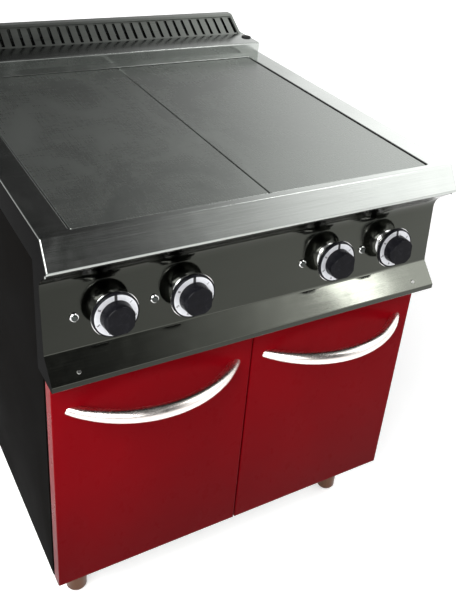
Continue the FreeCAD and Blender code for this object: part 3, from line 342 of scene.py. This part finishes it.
def dark_lens(name):
    """Dark tinted lamp lens, unlit."""
    colour = (0.003, 0.008, 0.005)
    material, tree, shader = new_material(name, colour, 0.0, 0.08)
    cloud = noise(tree, (180.0, 180.0, 180.0), detail=4.0)
    tint = ramp(tree, cloud, [(0.35, scaled(colour, 0.6)), (0.7, scaled(colour, 2.2))])
    tree.links.new(tint, shader.inputs["Base Color"])
    tree.links.new(spread(tree, cloud, 0.05, 0.14), shader.inputs["Roughness"])
    bump(tree, shader, cloud, 0.08, 0.00005)
    return material


def fibre_board(name):
    """Pressed ceramic fibre."""
    colour = (0.62, 0.6, 0.55)
    material, tree, shader = new_material(name, colour, 0.0, 0.95)
    fibre = noise(tree, (260.0, 320.0, 260.0), detail=8.0, roughness=0.8, distortion=1.5)
    tint = ramp(tree, fibre, [(0.3, scaled(colour, 0.75)), (0.7, scaled(colour, 1.15))])
    tree.links.new(tint, shader.inputs["Base Color"])
    bump(tree, shader, fibre, 0.6, 0.0004)
    return material


def dial_ink(name):
    """Matte black print on the dial film, slightly worn."""
    colour = (0.012, 0.012, 0.013)
    material, tree, shader = new_material(name, colour, 0.0, 0.5)
    wear = noise(tree, (900.0, 900.0, 900.0), detail=5.0)
    tint = ramp(tree, wear, [(0.45, colour), (0.8, (0.09, 0.09, 0.095))])
    tree.links.new(tint, shader.inputs["Base Color"])
    tree.links.new(spread(tree, wear, 0.42, 0.6), shader.inputs["Roughness"])
    bump(tree, shader, wear, 0.1, 0.00002)
    return material


MATERIALS = {
    # On these steel sheets the left-right shares paint shade on the left and light on the right, and the
    # dark-sides flags paint the faces along X near black as shade.
    "worktop_steel": brushed_steel("worktop_steel", (0.44, 0.46, 0.44), 0.16,
                                   painted_shade_sides=True, painted_light_share=0.15),
    # The panel's very dark base colour is painted shade standing in for the dark reflections of the polished
    # panel.
    "panel_steel": brushed_steel("panel_steel", (0.043, 0.045, 0.039), 0.1, contrast=0.08, smudge=0.08,
                                 painted_shade_sides=True, painted_light_share=0.4, painted_slope_light=4.0),
    "flue_steel": brushed_steel("flue_steel", (0.25, 0.265, 0.245), 0.3,
                                painted_shade_sides=True, painted_light_share=0.25),
    "inner_sheet": brushed_steel("inner_sheet", (0.42, 0.42, 0.41), 0.36,
                                 grain=(90.0, 90.0, 8.0), contrast=0.08),
    "handle_steel": brushed_steel("handle_steel", (0.85, 0.79, 0.75), 0.24, grain=(9.0, 400.0, 900.0)),
    "foot_steel": brushed_steel("foot_steel", (0.11, 0.055, 0.035), 0.34, grain=(300.0, 300.0, 20.0)),
    "hinge_steel": brushed_steel("hinge_steel", (0.3, 0.3, 0.29), 0.25, grain=(120.0, 120.0, 120.0)),
    "element_sheath": brushed_steel("element_sheath", (0.09, 0.085, 0.08), 0.45, grain=(60.0, 200.0, 200.0)),
    "hotplate_steel": hotplate_steel("hotplate_steel"),
    "door_red": red_enamel("door_red"),
    "body_dark": painted_shade_panel("body_dark"),
    "chrome": chrome("chrome"),
    "knob_black": moulded_plastic("knob_black"),
    "black_plastic": moulded_plastic("black_plastic", (0.012, 0.012, 0.012), 0.45),
    "dial_silver": dial_silver("dial_silver"),
    "lens_dark": dark_lens("lens_dark"),
    "insulation": fibre_board("insulation"),
    "dial_ink": dial_ink("dial_ink"),
}


def dress_cad_nodes():
    """Give every carried-over node the material of its slot."""
    for part in frame["record"]["subparts"]:
        mesh = nodes[part["node"]].data
        mesh.materials.clear()
        mesh.materials.append(MATERIALS[part["material_slot"]])


# Dial marks: a pointer line and plain numbers, raised a little from each dial ring

def dial_frame(number):
    """Middle of a dial ring's front face, with its right, up and outward directions."""
    joint = joints["knob_%d_turn" % number]
    outward = -Vector(joint["axis"]).normalized()
    right = Vector((1.0, 0.0, 0.0))
    up = outward.cross(right).normalized()
    if up.z < 0:
        up = -up
    origin = Vector(joint["pos_m"])
    points = [vertex.co - origin for vertex in nodes["dial_ring_%d" % number].data.vertices]
    reach = max(point.dot(outward) for point in points)
    middle = origin + outward * reach
    radii = [(point - outward * point.dot(outward)).length for point in points]
    return middle, right, up, outward, min(radii), max(radii)


def flat_piece(name, outlines, place, thickness, body, material):
    """Thin raised print: each outline is a list of (right, up) points, set down by place(a, b, height)."""
    mesh = bpy.data.meshes.new(name)
    shape = bmesh.new()
    for outline in outlines:
        low = [shape.verts.new(place(a, b, 0.0)) for a, b in outline]
        high = [shape.verts.new(place(a, b, thickness)) for a, b in outline]
        shape.faces.new(high)
        shape.faces.new(list(reversed(low)))
        for index in range(len(outline)):
            after = (index + 1) % len(outline)
            shape.faces.new((low[index], low[after], high[after], high[index]))
    bmesh.ops.recalc_face_normals(shape, faces=shape.faces)
    shape.to_mesh(mesh)
    shape.free()
    mesh.materials.append(material)
    piece = bpy.data.objects.new(name, mesh)
    bpy.context.scene.collection.objects.link(piece)
    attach(piece, body)
    return piece


PRINT_THICKNESS = 0.00015
PRINT_SINK = 0.00005
POINTER_WIDTH = 0.0042
NUMBER_HEIGHT = 0.0052
NUMBER_STROKE = 0.0009
DIAL_NUMBERS = 6
DIAL_SWEEP_DEGREES = 300.0
SEGMENTS = {
    1: "bc", 2: "abged", 3: "abgcd", 4: "fgbc", 5: "afgcd", 6: "afgedc",
}


def number_bars(digit, height, stroke):
    """Bars of a plain number on a grid of two squares, as (low right, low up, high right, high up)."""
    half = height / 2
    width = height * 0.56
    side = width / 2
    thin = stroke / 2
    bars = {
        "a": (-side, half - stroke, side, half), "d": (-side, -half, side, -half + stroke),
        "g": (-side, -thin, side, thin), "b": (side - stroke, 0.0, side, half),
        "c": (side - stroke, -half, side, 0.0), "e": (-side, -half, -side + stroke, 0.0),
        "f": (-side, 0.0, -side + stroke, half),
    }
    return [bars[letter] for letter in SEGMENTS[digit]]


def dial_marks(number):
    middle, right, up, outward, inner, outer = dial_frame(number)
    lift = outward * -PRINT_SINK

    def place(a, b, height):
        return middle + lift + right * a + up * b + outward * height

    outlines = [[
        (-POINTER_WIDTH / 2, inner - 0.0002), (POINTER_WIDTH / 2, inner - 0.0002),
        (POINTER_WIDTH / 2, outer - 0.0006), (-POINTER_WIDTH / 2, outer - 0.0006),
    ]]
    band = (inner + outer) / 2
    for digit in range(1, DIAL_NUMBERS + 1):
        angle = math.radians(digit * DIAL_SWEEP_DEGREES / DIAL_NUMBERS)
        spin = (math.cos(angle), math.sin(angle))
        for low_a, low_b, high_a, high_b in number_bars(digit, NUMBER_HEIGHT, NUMBER_STROKE):
            corners = [(low_a, low_b), (high_a, low_b), (high_a, high_b), (low_a, high_b)]
            outlines.append([
                (a * spin[0] + (b + band) * spin[1], (b + band) * spin[0] - a * spin[1]) for a, b in corners
            ])
    flat_piece("dial_marks_%d" % number, outlines, place, PRINT_THICKNESS + PRINT_SINK,
               "knob_%d" % number, MATERIALS["dial_ink"])


# Stage, lights and camera

def white_rays(tree):
    """1 for rays that show the background: seen by the camera, in a reflection or through glass."""
    paths = tree.nodes.new("ShaderNodeLightPath")
    either = add_values(tree, paths.outputs["Is Camera Ray"], paths.outputs["Is Glossy Ray"], "MAXIMUM")
    return add_values(tree, either, paths.outputs["Is Transmission Ray"], "MAXIMUM")


FLOOR_SIZE = 60.0
FLOOR_NEAR_GLOW = 0.42
FLOOR_FAR_GLOW = 0.85
FLOOR_NEAR = 0.8
FLOOR_FAR = 4.5
FLOOR_BOUNCE = 0.25


def plain_floor():
    bpy.ops.mesh.primitive_plane_add(size=FLOOR_SIZE, location=(0.0, 0.0, cad_box[0].z))
    floor = bpy.context.object
    floor.name = "floor"
    material, tree, shader = new_material("floor_pale", (0.8, 0.8, 0.8), 0.0, 0.9)
    shader.inputs["Specular IOR Level"].default_value = 0.0
    seen = white_rays(tree)
    grain = noise(tree, (3.0, 3.0, 3.0), detail=4.0)
    tint = ramp(tree, grain, [(0.3, (0.88, 0.88, 0.875)), (0.7, (0.9, 0.9, 0.9))])
    bounce = (FLOOR_BOUNCE, FLOOR_BOUNCE, FLOOR_BOUNCE)
    tree.links.new(mix_colour(tree, seen, bounce, tint), shader.inputs["Base Color"])
    shader.inputs["Emission Color"].default_value = (1.0, 1.0, 1.0, 1.0)
    coordinates = tree.nodes.new("ShaderNodeTexCoord")
    distance = tree.nodes.new("ShaderNodeVectorMath")
    distance.operation = "LENGTH"
    tree.links.new(coordinates.outputs["Object"], distance.inputs[0])
    glow = spread(tree, distance.outputs["Value"], FLOOR_NEAR_GLOW, FLOOR_FAR_GLOW, FLOOR_NEAR, FLOOR_FAR)
    tree.links.new(add_values(tree, seen, glow, "MULTIPLY"), shader.inputs["Emission Strength"])
    floor.data.materials.append(material)


WHITE_BAND_TOP = 0.26
WHITE_BAND_FADE = 0.1
STUDIO_STRENGTH = 2.5
SIDE_LEVELS = [
    (-1.0, 0.6), (-0.35, 0.4), (0.0, 0.08), (0.24, 0.03), (0.33, 0.1),
    (0.45, 0.48), (0.56, 1.4), (0.66, 2.0), (1.0, 1.4),
]


def studio_world():
    """Plain studio: white near the horizon, and above it dim at the back left and light at the right."""
    world = bpy.data.worlds.new("studio")
    bpy.context.scene.world = world
    world.use_nodes = True
    tree = world.node_tree
    background = tree.nodes["Background"]
    coordinates = tree.nodes.new("ShaderNodeTexCoord")
    parts = tree.nodes.new("ShaderNodeSeparateXYZ")
    tree.links.new(coordinates.outputs["Generated"], parts.inputs["Vector"])
    band = spread(tree, parts.outputs["Z"], 1.0, 0.0, WHITE_BAND_TOP - WHITE_BAND_FADE, WHITE_BAND_TOP)
    across = spread(tree, parts.outputs["X"], 0.0, 1.0, -1.0, 1.0)
    side = ramp(tree, across, [((x + 1) / 2, (level / STUDIO_STRENGTH,) * 3) for x, level in SIDE_LEVELS])
    white = (1.0 / STUDIO_STRENGTH,) * 3
    tree.links.new(mix_colour(tree, band, side, white), background.inputs["Color"])
    background.inputs["Strength"].default_value = STUDIO_STRENGTH


def soft_lamp(name, place, target, size, power):
    data = bpy.data.lights.new(name, "AREA")
    data.shape = "RECTANGLE"
    data.size, data.size_y = size
    data.energy = power
    lamp = bpy.data.objects.new(name, data)
    bpy.context.scene.collection.objects.link(lamp)
    lamp.location = place
    lamp.rotation_euler = (Vector(target) - Vector(place)).to_track_quat("-Z", "Y").to_euler()


def studio_lights():
    soft_lamp("left_box", (-1.5, -1.15, 2.05), (-0.2, -0.5, 0.75), (1.7, 1.5), 70.0)
    soft_lamp("ceiling_right", (1.38, -1.5, 2.5), (0.3, -0.4, 0.8), (0.22, 1.2), 5.0)
    soft_lamp("front_fill", (-0.9, -2.1, 1.8), (0.0, -0.4, 0.45), (0.8, 0.6), 7.0)


def photo_camera():
    """Camera solved from the photograph: the principal point is off the middle, so the lens is shifted."""
    data = bpy.data.cameras.new("photo_camera")
    camera = bpy.data.objects.new("photo_camera", data)
    bpy.context.scene.collection.objects.link(camera)
    bpy.context.scene.camera = camera
    data.sensor_width = SENSOR_MM
    data.lens = FOCAL_PIXELS * SENSOR_MM / PHOTO_HEIGHT
    data.shift_x = (PHOTO_WIDTH / 2 - PRINCIPAL_POINT[0]) / PHOTO_HEIGHT
    data.shift_y = (PRINCIPAL_POINT[1] - PHOTO_HEIGHT / 2) / PHOTO_HEIGHT
    data.clip_start = 0.05
    data.clip_end = 60.0
    camera.location = CAMERA_PLACE
    camera.rotation_euler = Euler([math.radians(angle) for angle in CAMERA_TURN_DEGREES], "XYZ")


dress_cad_nodes()
for number in range(1, 5):
    dial_marks(number)
plain_floor()
studio_world()
studio_lights()
photo_camera()
bpy.context.scene.view_settings.view_transform = "Standard"
